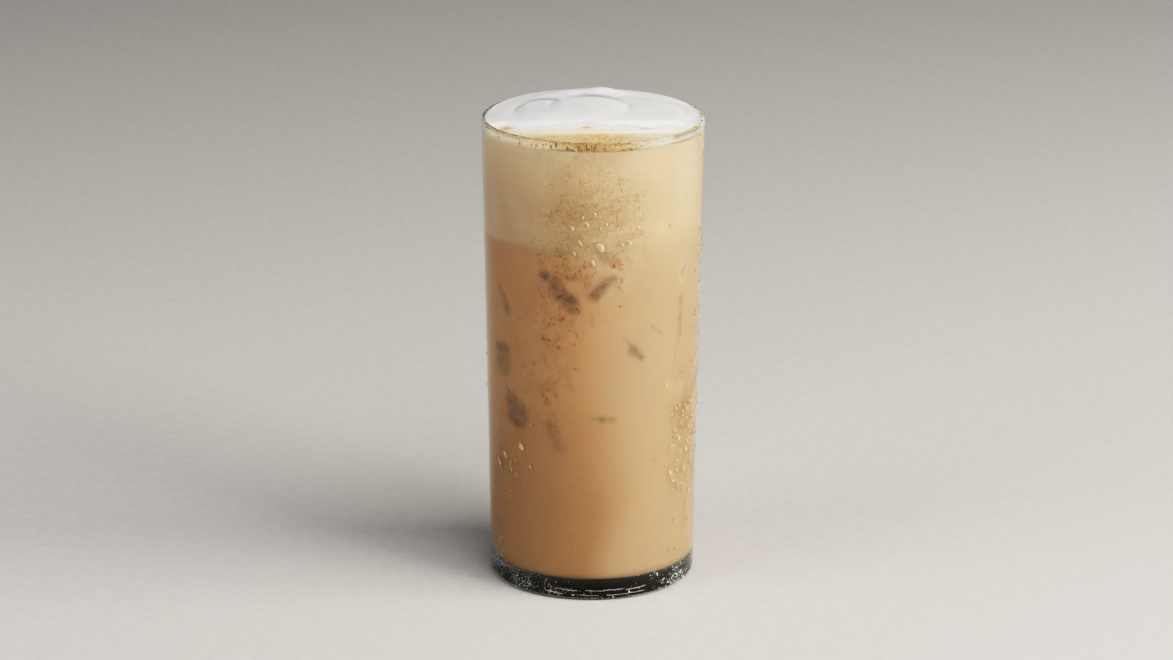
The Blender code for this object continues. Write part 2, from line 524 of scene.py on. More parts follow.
@dataclass
class CoolerGlass:
    """A straight-sided cooler glass that opens a little towards its rim, with a heavy clear foot."""

    height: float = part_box("glass")[1][2]
    foot_radius: float = 33.9 * MM
    top_radius: float = 36.3 * MM
    wall_at_foot: float = 2.1 * MM
    wall_at_top: float = 1.3 * MM
    floor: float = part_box("iced_coffee")[0][2] - 0.3 * MM
    foot_round: float = 2.0 * MM
    floor_round: float = 3.2 * MM
    ring_radius: float = 26.0 * MM
    punt_depth: float = 1.6 * MM
    bead_half_width: float = 0.76 * MM
    bead_half_height: float = 1.5 * MM
    segments: int = 192

    def outer(self, z: float) -> float:
        """The wall's outer radius at a height."""
        return self.foot_radius + (self.top_radius - self.foot_radius) * z / self.height

    def inner(self, z: float) -> float:
        """The wall's inner radius at a height."""
        return self.outer(z) - self.wall_at_foot - (self.wall_at_top - self.wall_at_foot) * z / self.height

    def floor_corner(self, reach: float, steps: int) -> list[Point]:
        """The inner floor's rounded corner from the wall inwards.

        Args:
            reach: how far outside the glass's own inner face the corner lies.
            steps: how many stretches it has.

        Returns:
            Points (radius, height).
        """
        centre_z = self.floor + self.floor_round
        centre = (self.inner(centre_z) - self.floor_round, centre_z)
        size = self.floor_round + reach
        return arc(centre, size, size, 0, -90, steps)

    def profile(self) -> list[Point]:
        """The section, from near the axis under the foot to near the axis on the inner floor."""
        shares = np.linspace(0.05, 1, 9)
        punt = [(self.ring_radius * s, self.punt_depth * (1 - s**3)) for s in shares]
        foot = arc((self.outer(self.foot_round) - self.foot_round, self.foot_round), *[self.foot_round] * 2, -90, 0, 8)
        bead_z = self.height - self.bead_half_height
        middle = (self.outer(bead_z) + self.inner(bead_z)) / 2
        half_wall = (self.outer(bead_z) - self.inner(bead_z)) / 2
        start = -math.degrees(math.acos(half_wall / self.bead_half_width))
        bead = arc((middle, bead_z), self.bead_half_width, self.bead_half_height, start, 180 - start, 20)
        return punt + foot + bead + self.floor_corner(0.0, 8) + [(2 * MM, self.floor)]

    def build(self) -> Mesh:
        """The glass as one turned piece, which stands for the plain solid."""
        glass = turn("cooler_glass", self.profile(), self.segments)
        write_mask(glass, "film", smooth_step((corners(glass)[:, 2] - self.height + 5 * MM) / (2 * MM)))
        glass.data.materials.append(ClearGlass().build())
        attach(glass, ROOT)
        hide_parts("glass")
        return glass


# The drink


class Mark(Enum):
    """What a mark on the drink's wall shows, by the name of its mask."""

    VIOLET = "violet"
    OLIVE = "olive"
    RUST = "rust"
    PALE = "pale"


@dataclass(frozen=True)
class WallMark:
    """A soft stroke on the drink's side, such as where an ice cube's edge lies against the glass.

    It runs from one azimuth in degrees and height in mm to another, with a width in mm at each end.
    """

    mark: Mark
    azimuth: float
    z: float
    end_azimuth: float
    end_z: float
    width: float
    end_width: float
    strength: float
    blur: float

    def shade(self, azimuth: Array, z: Array, radius: float) -> Array:
        """How strongly the mark shows at places on the wall.

        Args:
            azimuth: the places' azimuths in degrees.
            z: their heights in metres.
            radius: the wall's radius in metres.

        Returns:
            Values from 0 to the mark's strength.
        """
        per_degree = math.radians(1) * radius / MM
        across, up = turned(azimuth, self.azimuth) * per_degree, z / MM - self.z
        run = np.array([(self.end_azimuth - self.azimuth) * per_degree, self.end_z - self.z])
        along = np.clip((across * run[0] + up * run[1]) / max(run @ run, 1e-6), 0.0, 1.0)
        away = np.hypot(across - along * run[0], up - along * run[1])
        half = (self.width + (self.end_width - self.width) * along) / 2
        return self.strength * smooth_step(0.5 + (half - away) / (2 * self.blur))


# The marks at the front, with their numbers in the order of WallMark's: ice, milk in the froth and warmer coffee
FRONT_MARKS = {
    Mark.VIOLET: (
        (-25.8, 111.2, -22.4, 109.0, 3.6, 3.0, 0.7, 1.2),
        (-23.0, 109.4, -12.3, 102.9, 2.8, 4.8, 0.76, 1.5),
        (-13.6, 103.6, -10.4, 101.2, 5.0, 4.8, 0.72, 1.1),
        (10.7, 111.1, 0.6, 105.5, 2.0, 3.6, 0.7, 1.2),
        (57.4, 110.4, 55.8, 108.7, 2.0, 1.8, 0.42, 0.8),
        (55.5, 101.6, 54.4, 89.5, 1.2, 1.8, 0.55, 0.7),
        (54.4, 89.9, 53.9, 87.6, 2.4, 2.0, 0.5, 0.7),
        (53.6, 87.0, 49.8, 78.5, 1.2, 0.8, 0.4, 0.7),
        (-64.6, 82.9, -53.4, 83.5, 1.8, 1.8, 0.42, 0.9),
        (-54.2, 69.6, -50.6, 65.4, 1.0, 5.6, 0.5, 1.0),
        (-50.6, 65.2, -46.4, 61.8, 6.4, 10.6, 0.6, 1.8),
        (-25.0, 60.3, -21.8, 58.4, 3.6, 4.2, 0.34, 1.5),
        (-20.8, 56.2, -19.0, 53.0, 3.6, 4.4, 0.3, 1.6),
        (16.5, 90.8, 22.0, 86.6, 0.5, 2.2, 0.4, 0.7),
        (22.4, 86.0, 27.4, 83.2, 3.8, 2.2, 0.66, 0.9),
        (33.8, 93.4, 39.3, 90.4, 0.7, 1.3, 0.42, 0.7),
        (36.1, 46.8, 37.0, 46.0, 1.8, 1.6, 0.28, 1.1),
    ),
    Mark.OLIVE: (
        (-59.0, 102.9, -52.7, 96.4, 2.4, 3.4, 0.42, 1.4),
        (-57.6, 80.2, -58.0, 77.4, 8.6, 7.8, 0.42, 1.4),
        (-0.6, 63.1, 6.0, 63.0, 0.4, 2.2, 0.74, 0.8),
        (6.0, 63.0, 13.0, 63.1, 2.2, 0.3, 0.74, 0.8),
    ),
    Mark.RUST: (
        (5.2, 118.2, 11.7, 116.2, 2.4, 3.0, 0.55, 1.4),
        (-14.3, 141.5, -13.0, 136.0, 7.0, 9.0, 0.14, 4.4),
        (-6.0, 150.5, 14.0, 150.5, 3.0, 3.0, 0.22, 3.0),
    ),
    Mark.PALE: (
        (57.4, 111.3, 55.6, 107.6, 5.4, 4.6, 0.42, 1.0),
        (-64.0, 136.0, -62.0, 122.5, 6.0, 7.0, 0.5, 2.6),
        (-50.0, 135.0, -42.0, 128.0, 4.0, 7.0, 0.4, 3.0),
        (-26.0, 150.5, -19.0, 146.6, 4.0, 6.0, 0.6, 2.4),
        (15.7, 149.0, 17.5, 140.0, 4.0, 6.0, 0.5, 2.6),
        (-4.0, 137.0, -3.0, 128.0, 2.5, 5.0, 0.25, 2.6),
        (56.4, 148.5, 59.0, 131.0, 8.0, 13.0, 0.6, 3.6),
        (26.0, 127.8, 37.0, 126.0, 5.0, 6.0, 0.45, 3.4),
        (18.0, 145.0, 9.0, 112.0, 15.0, 16.0, 0.5, 6.0),
        (-2.0, 116.0, 8.0, 97.0, 14.0, 18.0, 0.16, 7.0),
    ),
}


def marks_round_the_back(random: np.random.Generator, count: int) -> list[WallMark]:
    """Marks of ice like those at the front, for the sides and the back.

    Args:
        random: the source of the draws.
        count: how many marks to make.

    Returns:
        The marks, spread evenly round the glass and unevenly in height.
    """
    first, last = 78, 282
    made = []
    for step in range(count):
        azimuth = first + (last - first) * (step + random.uniform(0.2, 0.8)) / count
        z = random.uniform(38, 112)
        slope = random.uniform(-1, 1)
        length = random.uniform(2, 9)
        run = (azimuth, z, azimuth + slope * length * 1.2, z - length * (1 - 0.5 * abs(slope)))
        mark = Mark.VIOLET if random.random() < 0.7 else Mark.OLIVE
        look = [random.uniform(*limits) for limits in ((0.8, 3.0), (1.4, 4.2), (0.35, 0.7), (0.7, 1.2))]
        made.append(WallMark(mark, *run, *look))
    return made


@dataclass
class Drink:
    """The iced coffee and the froth above it, up to their levels, as the glass's wall shows them."""

    glass: CoolerGlass
    level: float = (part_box("iced_coffee")[1][2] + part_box("coffee_froth")[0][2]) / 2
    froth_at_wall: float = 152.8 * MM
    froth_crown: float = 1.5 * MM
    reach_into_wall: float = 0.35 * MM
    ring_step: float = 1.0 * MM
    segments: int = 256
    marks: Sequence[WallMark] = ()

    def wall_radius(self, z: float) -> float:
        """The drink's radius at a height, just inside the glass's wall."""
        return self.glass.inner(z) + self.reach_into_wall

    def froth_top(self, x: Array, y: Array) -> Array:
        """Height of the froth's domed top."""
        reach = (x * x + y * y) / self.glass.inner(self.froth_at_wall) ** 2
        return self.froth_at_wall + self.froth_crown * (1 - reach)

    def wall_rings(self, low: float, high: float) -> list[Point]:
        """The wall between two heights, in rings close enough to carry the marks."""
        count = max(round((high - low) / self.ring_step), 1)
        return [(self.wall_radius(z), z) for z in np.linspace(low, high, count + 1)]

    def mark_walls(self, piece: Mesh) -> None:
        """Writes the masks that the finish reads: the layers' soft border and the marks."""
        places = corners(piece)
        azimuth = np.degrees(np.arctan2(places[:, 0], -places[:, 1]))
        z = places[:, 2]
        radius = self.wall_radius(self.level)
        wobble = ripple(places, 9 * MM) * 0.8 * MM
        from_crisp = np.abs(turned(azimuth, -75))
        softness = (0.8 + 7.2 * smooth_step((from_crisp - 40) / 46)) * MM
        border = self.level - 0.25 * softness + wobble
        masks = {mark: np.zeros(len(z)) for mark in Mark}
        across, up = ripple(places, 3 * MM, 3.0) * 1.1, ripple(places, 3 * MM, 7.0) * 0.6 * MM
        for item in self.marks:
            masks[item.mark] = np.maximum(masks[item.mark], item.shade(azimuth + across, z + up, radius))
        on_wall = smooth_step((np.hypot(places[:, 0], places[:, 1]) / radius - 0.8) / 0.1)
        mottled = on_wall * (0.85 + 0.6 * ripple(places, 2.4 * MM, 13.0))
        for mark, values in masks.items():
            write_mask(piece, mark.value, values * mottled)
        write_mask(piece, "froth", smooth_step(0.5 + (z - border) / (2 * softness)))
        write_mask(piece, "deep", smooth_step((85 * MM - z) / (60 * MM)))
        # Painted shade: the drink's rounded bottom edge turns darker and greyer
        write_mask(piece, "under", smooth_step((self.glass.floor + 0.6 * MM - z) / (0.8 * MM)))
        # Paler, greyer coffee round the right-front, full from about 22 to 78 degrees and fading out by -4 and 104
        from_right = np.abs(azimuth - 50 + 14 * ripple(places, 24 * MM, 23.0))
        write_mask(piece, "paler_right", 0.85 * (1 - smooth_step((from_right - 28) / 26)))
        from_left = 1 - 0.6 * smooth_step((azimuth + 30) / 80)
        write_mask(piece, "crown", 0.95 * smooth_step((z - 130 * MM) / (24 * MM)) * from_left)

    def build_coffee(self) -> Mesh:
        """The coffee, from the glass's floor to the froth."""
        corner = self.glass.floor_corner(self.reach_into_wall, 8)[::-1]
        low = corner[-1][1]
        profile = [(2 * MM, corner[0][1])] + corner[:-1] + self.wall_rings(low, self.level) + [(2 * MM, self.level)]
        coffee = turn("milk_coffee", profile, self.segments)
        self.mark_walls(coffee)
        coffee.data.materials.append(MilkCoffee().build())
        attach(coffee, ROOT)
        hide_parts("iced_coffee")
        return coffee

    def build_froth(self, lip: Callable[[Array], Array]) -> Mesh:
        """The froth, with its domed top and the masks for its crema.

        Args:
            lip: gives the distance from the axis to the foam's edge in a direction in radians.

        Returns:
            The froth's piece.
        """
        wall = self.wall_rings(self.level, self.froth_at_wall)
        radii = np.linspace(wall[-1][0], 1 * MM, 34)[1:]
        top = [(r, float(self.froth_top(r, 0.0))) for r in radii]
        froth = turn("coffee_froth_layer", [(2 * MM, self.level)] + wall + top, self.segments)
        self.mark_walls(froth)
        places = corners(froth)
        x, y, z = places.T
        reach, radius = np.hypot(x, y), self.wall_radius(self.froth_at_wall)
        write_mask(froth, "top", (z > self.froth_at_wall + 0.01 * MM).astype(float))
        write_mask(froth, "crema", crema_at(x, y, radius))
        edge = lip(np.arctan2(y, x))
        gold = heaped(GOLD_PATCHES, x, y) * smooth_step((reach - edge) / (4 * MM))
        gold *= 1 + 0.8 * ripple(places, 3 * MM, 5.0)
        at_wall = smooth_step((reach - radius + 5 * MM) / (4 * MM)) * smooth_step((24 * MM - x) / (18 * MM))
        gold = np.maximum(gold, 0.9 * at_wall) * (1 - 0.7 * at_glass(reach, radius))
        write_mask(froth, "milk", 1 - gold)
        froth.data.materials.append(CoffeeFroth().build())
        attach(froth, ROOT)
        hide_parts("coffee_froth")
        return froth


# The milk foam


@dataclass(frozen=True)
class Patch:
    """A soft round patch on top: its middle and half sizes in mm, and how strong it is."""

    x: float
    y: float
    half_x: float
    half_y: float
    weight: float

    def amount(self, x: Array, y: Array) -> Array:
        """The patch's strength at places in metres."""
        across, deep = (x / MM - self.x) / self.half_x, (y / MM - self.y) / self.half_y
        return self.weight * np.exp(-(across**2) - deep**2)


# Where brown crema gathers
CREMA_PATCHES = (
    Patch(3, -21, 11, 6, 0.6),
    Patch(3, -34, 13, 5, 1.6),
    Patch(-18, -23, 6, 5, 0.6),
    Patch(22, -25, 7, 5, 0.25),
)

# Where the froth under the crema is golden, and not pale with milk
GOLD_PATCHES = (Patch(1.5, -26, 17, 12, 1.3), Patch(-18, -23, 7, 7, 0.8), Patch(22, -26, 7, 5, 0.4))

# Blots of crema on the foam itself
FOAM_BLOTS = (Patch(-28.0, -9.4, 2.2, 1.2, 0.8), Patch(-2.1, -12.5, 2.1, 0.7, 0.9))

# Soft patches of painted shade that make the foam greyer, on the left fold and right of the middle fold
FOAM_SHADE_PATCHES = (Patch(-18, 5, 11, 11, 0.2), Patch(14, 9, 5, 8, 0.14))

# Soft round rises of foam, as strong as they are high in mm
FOAM_RISES = (Patch(3.3, 26.0, 5.2, 3.4, 1.0), Patch(-3.0, 26.0, 13.0, 5.0, 1.1))


def heaped(patches: Sequence[Patch], x: Array, y: Array) -> Array:
    """The strengths of patches together, at places in metres."""
    return sum(patch.amount(x, y) for patch in patches)


def at_glass(reach: Array, wall: float) -> Array:
    """Where a distance from the axis is within the last millimetre or so before the wall, from 0 to 1."""
    return smooth_step((reach - wall + 1.8 * MM) / (1.2 * MM))


def crema_at(x: Array, y: Array, wall: float) -> Array:
    """How thickly crema lies at places on top, a little of it all along the wall at the front.

    Args:
        x: the places' x in metres.
        y: their y in metres.
        wall: the wall's inner radius.

    Returns:
        Values from 0 to 1.
    """
    reach = np.hypot(x, y)
    along_wall = 0.4 * smooth_step((reach - wall + 5 * MM) / (5 * MM)) * smooth_step(-y / (20 * MM))
    amount = 0.06 + along_wall + heaped(CREMA_PATCHES, x, y)
    return np.clip(amount, 0.0, 1.0) * (1 - 0.9 * at_glass(reach, wall))


@dataclass(frozen=True)
class Fold:
    """A fold of foam: a soft mound with a steep edge at its back and a groove beyond that. Sizes in mm.

    The edge is steepest in the direction that leans from the back to the right by so many degrees. Its
    groove gets painted shade round that direction, as far as the spread in degrees.
    """

    x: float
    y: float
    half_x: float
    back: float
    front: float
    height: float
    lean: float
    shadow: float
    spread: float
    edge_share: float = 0.3
    dip_share: float = 0.4
    dip_centre: float = 0.2
    dip_width: float = 0.13

    def shape(self, x: Array, y: Array) -> tuple[Array, Array, Array]:
        """Works out the fold's form at places in metres.

        Args:
            x: the places' x.
            y: their y.

        Returns:
            The mound and the groove, as shares of the fold's height, and how dark the groove is.
        """
        across = (x / MM - self.x) / self.half_x
        behind = y / MM - self.y
        deep = behind / np.where(behind > 0, self.back, self.front)
        reach = np.maximum(np.hypot(across, deep), 1e-6)
        bearing = np.degrees(np.arctan2(across, deep))
        from_lean = np.abs(turned(bearing, self.lean))
        steepness = smooth_step(0.5 + 0.55 * np.cos(np.radians(from_lean)))
        mound = 1 - smooth_step((reach - 1) / (1 + (self.edge_share - 1) * steepness) + 0.5)
        groove = self.dip_share * steepness * np.exp(-(((reach - 1 - self.dip_centre) / self.dip_width) ** 2))
        beyond = np.hypot(x / MM - self.x, y / MM - self.y) * (1 - 1 / reach)
        backness = np.clip(np.cos(np.radians(bearing)), 0.0, 1.0)
        shade_at, shade_width = 1.4 + 1.6 * backness, 1.0 + 0.6 * backness
        dark = (1 - smooth_step(from_lean / self.spread)) * np.exp(-(((beyond - shade_at) / shade_width) ** 2))
        return mound, groove, self.shadow * dark


@dataclass
class FoamCap:
    """The cap of white foam, spooned on in soft folds, thicker to the back, with a free lip at the front."""

    drink: Drink
    front_thickness: float = 2.0 * MM
    back_thickness: float = 3.7 * MM
    wall_share: float = 0.9
    lip: float = 0.3 * MM
    lip_slope: float = 8.0 * MM
    centre_y: float = 8.0 * MM
    half_width: float = 46.6 * MM
    half_depth: float = 23.0 * MM
    gap: float = 0.3 * MM
    rings: int = 110
    segments: int = 288
    folds: tuple[Fold, ...] = (
        Fold(8.0, 2.0, 21.5, 17.0, 15.0, 0.3, 62.0, 0.3, 50.0),
        Fold(2.0, 19.0, 7.0, 4.4, 4.0, 0.15, 0.0, 0.3, 60.0),
        Fold(-15.8, 5.0, 8.4, 9.6, 12.0, 0.75, -4.0, 0.85, 74.0),
        Fold(-1.3, 7.0, 10.7, 10.0, 13.0, 1.0, 6.0, 1.0, 68.0),
    )

    def wall(self) -> float:
        """Distance from the axis to the foam's edge at the glass, just inside the wall."""
        return self.drink.wall_radius(self.drink.glass.height)

    def edge(self, direction: Array) -> Array:
        """Distance from the axis to the foam's edge in a direction in radians, the wall or the free lip."""
        across = np.cos(direction) / self.half_width
        deep = np.sin(direction) / self.half_depth
        centre = self.centre_y / self.half_depth
        square = across**2 + deep**2
        lip = (deep * centre + np.sqrt((deep * centre) ** 2 - square * (centre**2 - 1))) / square
        return np.where(np.sin(direction) >= 0, self.wall(), np.minimum(self.wall(), lip))

    def folded(self, x: Array, y: Array) -> tuple[Array, Array]:
        """Lays the folds over one another, the last on top.

        Args:
            x: the places' x in metres.
            y: their y in metres.

        Returns:
            The folds' height in metres and how dark their grooves are, up to 1.
        """
        height, dip, dark = np.zeros(len(x)), np.zeros(len(x)), np.zeros(len(x))
        for fold in self.folds:
            mound, groove, shade_here = fold.shape(x, y)
            height = height * (1 - mound) + fold.height * mound
            dip = np.maximum(dip * (1 - mound), fold.height * groove)
            dark = np.maximum(dark * (1 - mound), shade_here)
        return (height - dip) * MM, dark

    def top(self, x: Array, y: Array) -> Array:
        """Height of the foam's top, with its thin lip, folds and rises."""
        edge = self.edge(np.arctan2(y, x))
        front = self.centre_y - self.half_depth
        backness = smooth_step((y - front) / (self.wall() - front))
        body = self.front_thickness + (self.back_thickness - self.front_thickness) * backness
        held = smooth_step(1 - (self.wall() - edge) / (2.5 * MM))
        at_edge = self.lip + (body * self.wall_share - self.lip) * held
        inside = smooth_step((edge - np.hypot(x, y)) / self.lip_slope)
        relief = self.folded(x, y)[0] + heaped(FOAM_RISES, x, y) * MM
        return self.drink.froth_top(x, y) + self.gap + at_edge + (body - at_edge + relief) * inside

    def build(self) -> Mesh:
        """The foam: a turned disc of unit radius, stretched to the outline and lifted to the heights."""
        shares = np.linspace(0, 1, self.rings + 1)[1:]
        underside = [(float(s), 0.0) for s in shares[:: self.rings // 10]] + [(1.0, 0.0)]
        top = [(float(s), 1.0) for s in shares[::-1]]
        foam = turn("milk_foam_cap", underside + top, self.segments)
        places = corners(foam)
        direction = np.arctan2(places[:, 1], places[:, 0])
        share = np.hypot(places[:, 0], places[:, 1])
        edge = self.edge(direction)
        x, y = share * edge * np.cos(direction), share * edge * np.sin(direction)
        flat = np.stack([x, y, np.zeros(len(x))], axis=1)
        grain = (ripple(flat, 6 * MM) * 0.06 + ripple(flat, 1.8 * MM, 3.0) * 0.03) * MM
        is_top = places[:, 2] > 0.5
        low = self.drink.froth_top(x, y) - self.gap
        z = np.where(is_top, self.top(x, y) + grain * np.clip(4 * (1 - share), 0, 1), low)
        move_corners(foam, np.stack([x, y, z], axis=1))
        inward = edge - share * edge
        free = smooth_step((self.wall() - edge) / (1.5 * MM))
        ragged = inward / MM + 2.0 * ripple(flat, 8 * MM, 5.0) + 0.9 * ripple(flat, 2.2 * MM, 9.0)
        write_mask(foam, "lip", free * (1 - smooth_step((ragged - 0.6) / 2.6)))
        # Painted shadow: a grey line along the foot of the foam's thick front terrace, stronger to the right; with the
        # folds' painted groove shade and the shade patches it makes the foam's shade mask
        stronger = 0.18 + 0.3 * smooth_step((x + 5 * MM) / (12 * MM))
        terrace_shadow = stronger * free * np.exp(-(((ragged - 3.2) / 0.8) ** 2)) * (1 + ripple(flat, 4 * MM, 17.0))
        write_mask(foam, "painted_foam_shade", np.maximum(terrace_shadow, self.folded(x, y)[1]) + heaped(FOAM_SHADE_PATCHES, x, y))
        strewn = heaped(CREMA_PATCHES, x, y) * (1 - smooth_step(inward / (4 * MM)))
        write_mask(foam, "crema", heaped(FOAM_BLOTS, x, y) + strewn)
        shade(foam)
        foam.data.materials.append(MilkFoam().build())
        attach(foam, ROOT)
        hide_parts("milk_foam")
        return foam


# Small scattered things: drops of dew on the glass and bubbles in the crema


@dataclass(frozen=True)
class Dome:
    """A cap of liquid that stands for each of many small drops or bubbles.

    Its side meets the surface at the contact angle in degrees, and its base lies a share of its height below.
    """

    sides: int
    rings: int
    contact: float = 62.0
    sink: float = 0.1

    def template(self) -> tuple[Array, Array]:
        """The cap's corners, of unit radius and height, and its triangles."""
        contact = math.radians(self.contact)
        tops = [(0.0, 0.0, 1.0)]
        for ring in range(1, self.rings + 1):
            tilt = contact * ring / self.rings
            reach = math.sin(tilt) / math.sin(contact)
            lift = (math.cos(tilt) - math.cos(contact)) / (1 - math.cos(contact))
            for side in range(self.sides):
                turn_by = math.tau * (side + 0.5 * (ring % 2)) / self.sides
                tops.append((reach * math.cos(turn_by), reach * math.sin(turn_by), lift * (1 + self.sink) - self.sink))
        tops.append((0.0, 0.0, -self.sink))
        faces = [(0, 1 + side, 1 + (side + 1) % self.sides) for side in range(self.sides)]
        for ring in range(1, self.rings):
            inner, outer = 1 + (ring - 1) * self.sides, 1 + ring * self.sides
            for side in range(self.sides):
                after = (side + 1) % self.sides
                faces.append((inner + side, outer + side, outer + after))
                faces.append((inner + side, outer + after, inner + after))
        last, centre = 1 + (self.rings - 1) * self.sides, len(tops) - 1
        faces += [(last + (side + 1) % self.sides, last + side, centre) for side in range(self.sides)]
        return np.array(tops), np.array(faces)


def scatter(name: str, dome: Dome, frames: Array, origins: Array) -> Mesh:
    """Copies a dome to many places as one joined mesh.

    Args:
        name: the piece's name.
        dome: the shape to copy.
        frames: for each copy, the three directions that its x, y and z become, as rows, with their lengths.
        origins: for each copy, the middle of its base.

    Returns:
        The joined piece, shaded smooth.
    """
    shape, faces = dome.template()
    places = np.einsum("ck,nkj->ncj", shape, frames) + origins[:, None, :]
    joined = faces[None] + (np.arange(len(origins)) * len(shape))[:, None, None]
    mesh = bpy.data.meshes.new(name)
    mesh.from_pydata(places.reshape(-1, 3), [], joined.reshape(-1, 3).tolist())
    mesh.shade_smooth()
    mesh.set_sharp_from_angle(angle=math.radians(75))
    piece = bpy.data.objects.new(name, mesh)
    bpy.context.scene.collection.objects.link(piece)
    return piece


def varied(random: np.random.Generator, middle: float, unevenness: float, limits: Point, count: int) -> Array:
    """Draws sizes that vary round a middle one.

    Args:
        random: the source of the draws.
        middle: the middle size in mm.
        unevenness: how much they vary, as the spread of their logarithms.
        limits: the least and the largest size in mm.
        count: how many to draw.

    Returns:
        The sizes in metres.
    """
    return random.lognormal(math.log(middle), unevenness, count).clip(*limits) * MM


def stand(
    azimuth: Array,
    radius: Array,
    z: Array,
    half: Array,
    tall: Array,
    depth: Array,
    tilt: Array | float = 0.0,
    facing: int = 1,
) -> tuple[Array, Array]:
    """Stands domes on an upright round wall.

    Args:
        azimuth: their azimuths in degrees.
        radius: the wall's radius at each of them in metres.
        z: their heights in metres.
        half: half their widths in metres.
        tall: half their heights in metres.
        depth: how far they stand out in metres.
        tilt: how far their tops lean to the left, in degrees.
        facing: 1 on the outside of the wall and -1 on the inside.

    Returns:
        The domes' frames and origins, as scatter takes them.
    """
    a = np.radians(azimuth)
    outward = np.stack([np.sin(a), -np.cos(a), np.zeros_like(a)], axis=1)
    across = np.stack([np.cos(a), np.sin(a), np.zeros_like(a)], axis=1)
    up = np.broadcast_to([0.0, 0.0, 1.0], outward.shape)
    lean = np.radians(np.broadcast_to(tilt, a.shape))[:, None]
    right, top = across * np.cos(lean) + up * np.sin(lean), up * np.cos(lean) - across * np.sin(lean)
    sized = ((right, facing * half), (top, tall), (outward, facing * depth))
    frames = np.stack([way * size[:, None] for way, size in sized], axis=1)
    return frames, outward * radius[:, None] + up * z[:, None]


@dataclass(frozen=True)
class DewPatch:
    """Where dew gathers: (azimuth in degrees, height in mm), half sizes alike, and how thickly."""

    azimuth: float
    z: float
    half_azimuth: float
    half_z: float
    weight: float

    def amount(self, azimuth: Array, z: Array) -> Array:
        """The share of places that hold a drop, at azimuths in degrees and heights in metres."""
        across, up = turned(azimuth, self.azimuth) / self.half_azimuth, (z / MM - self.z) / self.half_z
        return self.weight * np.exp(-(across**2) - up**2)


MIST_PATCHES = (
    DewPatch(-6, 126, 24, 20, 0.75),
    DewPatch(-28, 80, 18, 24, 0.42),
    DewPatch(-14, 104, 16, 12, 0.22),
    DewPatch(20, 132, 16, 14, 0.35),
    DewPatch(60, 60, 14, 24, 0.35),
    DewPatch(120, 96, 26, 30, 0.5),
    DewPatch(172, 70, 30, 34, 0.55),
    DewPatch(235, 104, 30, 26, 0.5),
)

FOOT_PATCHES = (
    DewPatch(-44, 4.0, 20, 3.4, 1.0),
    DewPatch(-20, 2.4, 14, 1.6, 0.5),
    DewPatch(60, 4.2, 22, 3.6, 0.9),
    DewPatch(20, 3.2, 20, 1.0, 0.25),
    DewPatch(0, 1.1, 400, 0.35, 0.6),
    DewPatch(140, 4.0, 26, 3.0, 0.6),
    DewPatch(220, 3.4, 34, 3.0, 0.7),
    DewPatch(-68, 14, 10, 8, 0.3),
)

BEAD_PATCHES = (
    DewPatch(60, 52, 12, 22, 0.6),
    DewPatch(88, 92, 14, 36, 0.45),
    DewPatch(-50, 48, 12, 10, 0.22),
    DewPatch(2, 124, 22, 10, 0.1),
    DewPatch(150, 88, 34, 34, 0.2),
    DewPatch(228, 76, 30, 34, 0.2),
)

# Water drawn out in lines on the foot, as (azimuths of its ends in degrees, heights of its ends and its own in mm)
FOOT_LINES = (
    (-78.0, -8.0, 0.9, 0.9, 0.26),
    (22.0, 80.0, 0.9, 0.9, 0.3),
    (-26.0, -17.0, 2.6, 2.2, 0.6),
    (-20.0, -9.0, 4.0, 3.6, 0.34),
    (-8.0, 3.0, 2.2, 2.0, 0.24),
    (-3.0, 6.0, 3.8, 3.6, 0.3),
    (7.0, 17.0, 3.9, 3.9, 0.4),
    (9.0, 30.0, 2.0, 2.3, 0.26),
    (20.0, 31.0, 3.4, 3.9, 0.34),
    (100.0, 260.0, 0.9, 0.9, 0.24),
)

# Drops that stand out, as (azimuth in degrees, height in mm, width in mm, height of the drop in mm)
LARGE_DROPS = (
    (3.6, 121.3, 2.6, 3.7),
    (0.0, 116.2, 1.3, 2.4),
    (-6.7, 122.8, 1.2, 2.4),
    (-3.1, 129.1, 1.3, 2.3),
    (-10.8, 127.7, 1.2, 1.8),
    (1.0, 132.4, 1.0, 1.4),
    (6.6, 129.2, 1.0, 1.2),
    (24.1, 127.2, 1.1, 1.4),
    (15.0, 122.1, 1.1, 1.8),
    (19.3, 122.6, 1.1, 1.7),
    (-9.8, 119.3, 1.0, 1.5),
    (-42.3, 50.8, 2.2, 3.0),
    (-56.0, 46.0, 1.4, 3.2),
    (-62.0, 42.5, 1.3, 3.6),
    (48.0, 41.0, 1.5, 2.4),
    (55.0, 52.0, 1.4, 2.2),
    (52.0, 63.0, 1.2, 2.0),
    (63.0, 47.0, 1.4, 2.6),
    (128.0, 84.0, 2.0, 2.8),
    (141.0, 101.0, 1.6, 2.0),
    (166.0, 62.0, 1.8, 3.0),
    (189.0, 92.0, 2.2, 2.6),
    (214.0, 57.0, 1.6, 2.6),
    (243.0, 88.0, 1.9, 2.4),
    (262.0, 64.0, 1.5, 2.8),
)


